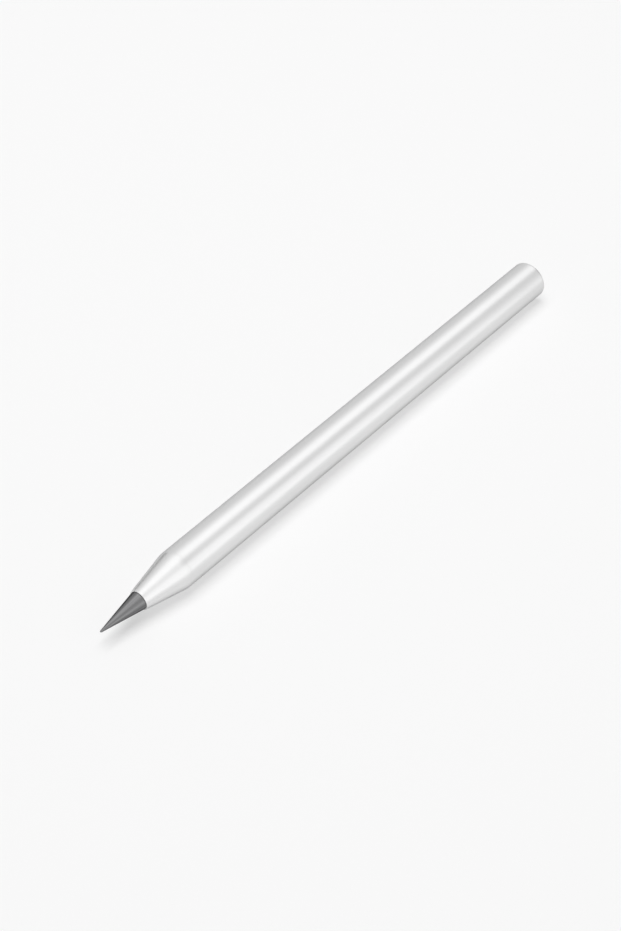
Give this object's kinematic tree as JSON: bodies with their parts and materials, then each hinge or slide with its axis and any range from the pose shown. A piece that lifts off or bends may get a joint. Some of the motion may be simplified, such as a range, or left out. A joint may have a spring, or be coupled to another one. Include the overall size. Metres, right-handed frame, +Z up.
{
  "type": "inkless pencil",
  "caption": "Inkless metal pencil: a slim round satin aluminium barrel with a tapered nose, a dark graphite alloy tip that unscrews, and a plugged flat end.",
  "frame": {"origin": "on the surface that the pencil lies on, under the middle of its length", "axes": "+X along the pencil from its point to its flat end, +Z up from the surface that it lies on"},
  "size_m": [0.145, 0.009, 0.009],
  "materials": {
    "anodised_aluminium": "bead blasted, clear anodised, satin",
    "graphite_alloy": "turned, dull metallic grey",
    "turned_brass": "turned, bright",
    "moulded_rubber": "moulded, matt"
  },
  "bodies": {
    "pencil": {"barrel": "anodised_aluminium", "end_plug": "anodised_aluminium", "nose_cone": "anodised_aluminium"},
    "seal_ring": {"tip_seal_ring": "moulded_rubber"},
    "tip": {"tip_stud": "turned_brass", "writing_tip": "graphite_alloy"}
  },
  "joints": [
    {"name": "tip_advance", "type": "slide", "parent": "pencil", "child": "seal_ring", "axis": [-1, 0, 0], "range_m": [0, 0.006]},
    {"name": "tip_unscrew", "type": "hinge", "parent": "seal_ring", "child": "tip", "pos_m": [-0.0615, 0, 0.0045], "axis": [-1, 0, 0], "range_deg": [0, 4320]}
  ],
  "couplings": [
    {"joint": "tip_unscrew", "follows": "tip_advance", "rad_per_m": 12566}
  ]
}
